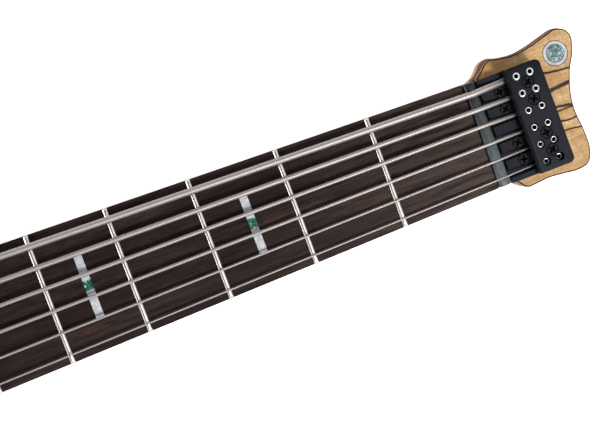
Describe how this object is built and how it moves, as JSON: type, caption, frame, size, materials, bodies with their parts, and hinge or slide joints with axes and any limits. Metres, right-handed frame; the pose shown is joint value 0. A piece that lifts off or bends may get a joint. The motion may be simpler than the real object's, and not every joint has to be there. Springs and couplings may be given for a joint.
{
  "type": "headless bass guitar",
  "caption": "Headless electric bass guitar with a carved body, a fretted neck, a string clamp at the small head, and sliding string carriages with thumbscrew tuners at the bridge.",
  "frame": {"origin": "on the flat back of the body, under the point where the scale length ends at the bridge, on the middle line of the strings", "axes": "+X along the neck to the head, +Y towards the thickest string, +Z out of the playing face"},
  "size_m": [1.0488, 0.3488, 0.0594],
  "materials": {
    "back_wood": "satin oiled",
    "black_veneer": "satin",
    "top_wood": "satin lacquer",
    "neck_wood": "satin oiled",
    "fingerboard_wood": "bare, polished by use",
    "fret_steel": "polished",
    "pearl": "polished shell",
    "graphite": "moulded, smooth",
    "black_anodised": "black anodised, fine blasted",
    "bright_steel": "bright",
    "string_steel": "nickel wound",
    "black_steel": "black oxide",
    "pickup_cover": "moulded, satin",
    "knob_metal": "black anodised, turned",
    "pot_steel": "plated",
    "black_plastic": "moulded"
  },
  "bodies": {
    "instrument": {"body_core": "back_wood", "body_veneer": "black_veneer", "body_top": "top_wood", "neck": "neck_wood", "truss_rod": "bright_steel", "fingerboard": "fingerboard_wood", "marker_fret_03": "pearl", "marker_fret_05": "pearl", "marker_fret_07": "pearl", "marker_fret_09": "pearl", "marker_fret_12": "pearl", "marker_fret_15": "pearl", "marker_fret_17": "pearl", "marker_fret_19": "pearl", "marker_fret_21": "pearl", "marker_fret_24": "pearl", "nut": "graphite", "head_veneer": "black_veneer", "head_top": "top_wood", "head_disc": "pearl", "headpiece_shelf": "black_anodised", "clamp_block": "black_anodised", "string_1": "string_steel", "string_2": "string_steel", "string_3": "string_steel", "string_4": "string_steel", "string_5": "string_steel", "string_6": "string_steel", "bridge_plate": "black_anodised", "neck_pickup": "pickup_cover", "bridge_pickup": "pickup_cover", "pot_plate": "pot_steel", "toggle_switch": "pot_steel", "control_cover": "black_plastic", "output_jack": "black_anodised", "strap_button_horn": "black_steel", "strap_button_tail": "black_steel"},
    "truss_wheel": {"truss_wheel": "bright_steel"},
    "saddle_1": {"saddle_1": "black_anodised"},
    "saddle_2": {"saddle_2": "black_anodised"},
    "saddle_3": {"saddle_3": "black_anodised"},
    "saddle_4": {"saddle_4": "black_anodised"},
    "saddle_5": {"saddle_5": "black_anodised"},
    "saddle_6": {"saddle_6": "black_anodised"},
    "carriage_1": {"carriage_1": "black_anodised"},
    "carriage_2": {"carriage_2": "black_anodised"},
    "carriage_3": {"carriage_3": "black_anodised"},
    "carriage_4": {"carriage_4": "black_anodised"},
    "carriage_5": {"carriage_5": "black_anodised"},
    "carriage_6": {"carriage_6": "black_anodised"},
    "thumbscrew_1": {"thumbscrew_1": "black_steel"},
    "thumbscrew_2": {"thumbscrew_2": "black_steel"},
    "thumbscrew_3": {"thumbscrew_3": "black_steel"},
    "thumbscrew_4": {"thumbscrew_4": "black_steel"},
    "thumbscrew_5": {"thumbscrew_5": "black_steel"},
    "thumbscrew_6": {"thumbscrew_6": "black_steel"},
    "volume_knob": {"volume_knob": "knob_metal"},
    "blend_knob": {"blend_knob": "knob_metal"},
    "tone_knob": {"tone_knob": "knob_metal"},
    "toggle_lever": {"toggle_lever": "bright_steel"}
  },
  "joints": [
    {"name": "tuner_turn_1", "type": "hinge", "parent": "instrument", "child": "thumbscrew_1", "pos_m": [-0.0628, 0.04375, 0.052], "axis": [1, 0, 0], "range_deg": [-2240, 2240]},
    {"name": "tuner_turn_2", "type": "hinge", "parent": "instrument", "child": "thumbscrew_2", "pos_m": [-0.0628, 0.02625, 0.052], "axis": [1, 0, 0], "range_deg": [-2240, 2240]},
    {"name": "tuner_turn_3", "type": "hinge", "parent": "instrument", "child": "thumbscrew_3", "pos_m": [-0.0628, 0.00875, 0.052], "axis": [1, 0, 0], "range_deg": [-2240, 2240]},
    {"name": "tuner_turn_4", "type": "hinge", "parent": "instrument", "child": "thumbscrew_4", "pos_m": [-0.0628, -0.00875, 0.052], "axis": [1, 0, 0], "range_deg": [-2240, 2240]},
    {"name": "tuner_turn_5", "type": "hinge", "parent": "instrument", "child": "thumbscrew_5", "pos_m": [-0.0628, -0.02625, 0.052], "axis": [1, 0, 0], "range_deg": [-2240, 2240]},
    {"name": "tuner_turn_6", "type": "hinge", "parent": "instrument", "child": "thumbscrew_6", "pos_m": [-0.0628, -0.04375, 0.052], "axis": [1, 0, 0], "range_deg": [-2240, 2240]},
    {"name": "carriage_slide_1", "type": "slide", "parent": "instrument", "child": "carriage_1", "axis": [-1, 0, 0], "range_m": [-0.005, 0.005], "deforming": ["string_1"]},
    {"name": "carriage_slide_2", "type": "slide", "parent": "instrument", "child": "carriage_2", "axis": [-1, 0, 0], "range_m": [-0.005, 0.005], "deforming": ["string_2"]},
    {"name": "carriage_slide_3", "type": "slide", "parent": "instrument", "child": "carriage_3", "axis": [-1, 0, 0], "range_m": [-0.005, 0.005], "deforming": ["string_3"]},
    {"name": "carriage_slide_4", "type": "slide", "parent": "instrument", "child": "carriage_4", "axis": [-1, 0, 0], "range_m": [-0.005, 0.005], "deforming": ["string_4"]},
    {"name": "carriage_slide_5", "type": "slide", "parent": "instrument", "child": "carriage_5", "axis": [-1, 0, 0], "range_m": [-0.005, 0.005], "deforming": ["string_5"]},
    {"name": "carriage_slide_6", "type": "slide", "parent": "instrument", "child": "carriage_6", "axis": [-1, 0, 0], "range_m": [-0.005, 0.005], "deforming": ["string_6"]},
    {"name": "saddle_slide_1", "type": "slide", "parent": "instrument", "child": "saddle_1", "axis": [1, 0, 0], "range_m": [-0.004, 0.004]},
    {"name": "saddle_slide_2", "type": "slide", "parent": "instrument", "child": "saddle_2", "axis": [1, 0, 0], "range_m": [-0.004, 0.004]},
    {"name": "saddle_slide_3", "type": "slide", "parent": "instrument", "child": "saddle_3", "axis": [1, 0, 0], "range_m": [-0.004, 0.004]},
    {"name": "saddle_slide_4", "type": "slide", "parent": "instrument", "child": "saddle_4", "axis": [1, 0, 0], "range_m": [-0.004, 0.004]},
    {"name": "saddle_slide_5", "type": "slide", "parent": "instrument", "child": "saddle_5", "axis": [1, 0, 0], "range_m": [-0.004, 0.004]},
    {"name": "saddle_slide_6", "type": "slide", "parent": "instrument", "child": "saddle_6", "axis": [1, 0, 0], "range_m": [-0.004, 0.004]},
    {"name": "volume_turn", "type": "hinge", "parent": "instrument", "child": "volume_knob", "pos_m": [0.078, -0.104, 0.0444], "axis": [0, 0, 1], "range_deg": [-150, 150]},
    {"name": "blend_turn", "type": "hinge", "parent": "instrument", "child": "blend_knob", "pos_m": [0.04, -0.122, 0.0444], "axis": [0, 0, 1], "range_deg": [-150, 150]},
    {"name": "tone_turn", "type": "hinge", "parent": "instrument", "child": "tone_knob", "pos_m": [-0.001, -0.136, 0.0444], "axis": [0, 0, 1], "range_deg": [-150, 150]},
    {"name": "toggle_rock", "type": "hinge", "parent": "instrument", "child": "toggle_lever", "pos_m": [-0.04, -0.14, 0.043], "axis": [0, 1, 0], "range_deg": [-13, 13]},
    {"name": "truss_wheel_turn", "type": "hinge", "parent": "instrument", "child": "truss_wheel", "pos_m": [0.2051, 0, 0.0392], "axis": [1, 0, 0], "range_deg": [-360, 360]}
  ],
  "couplings": [
    {"joint": "carriage_slide_1", "follows": "tuner_turn_1", "m_per_rad": 0.00012732},
    {"joint": "carriage_slide_2", "follows": "tuner_turn_2", "m_per_rad": 0.00012732},
    {"joint": "carriage_slide_3", "follows": "tuner_turn_3", "m_per_rad": 0.00012732},
    {"joint": "carriage_slide_4", "follows": "tuner_turn_4", "m_per_rad": 0.00012732},
    {"joint": "carriage_slide_5", "follows": "tuner_turn_5", "m_per_rad": 0.00012732},
    {"joint": "carriage_slide_6", "follows": "tuner_turn_6", "m_per_rad": 0.00012732}
  ]
}
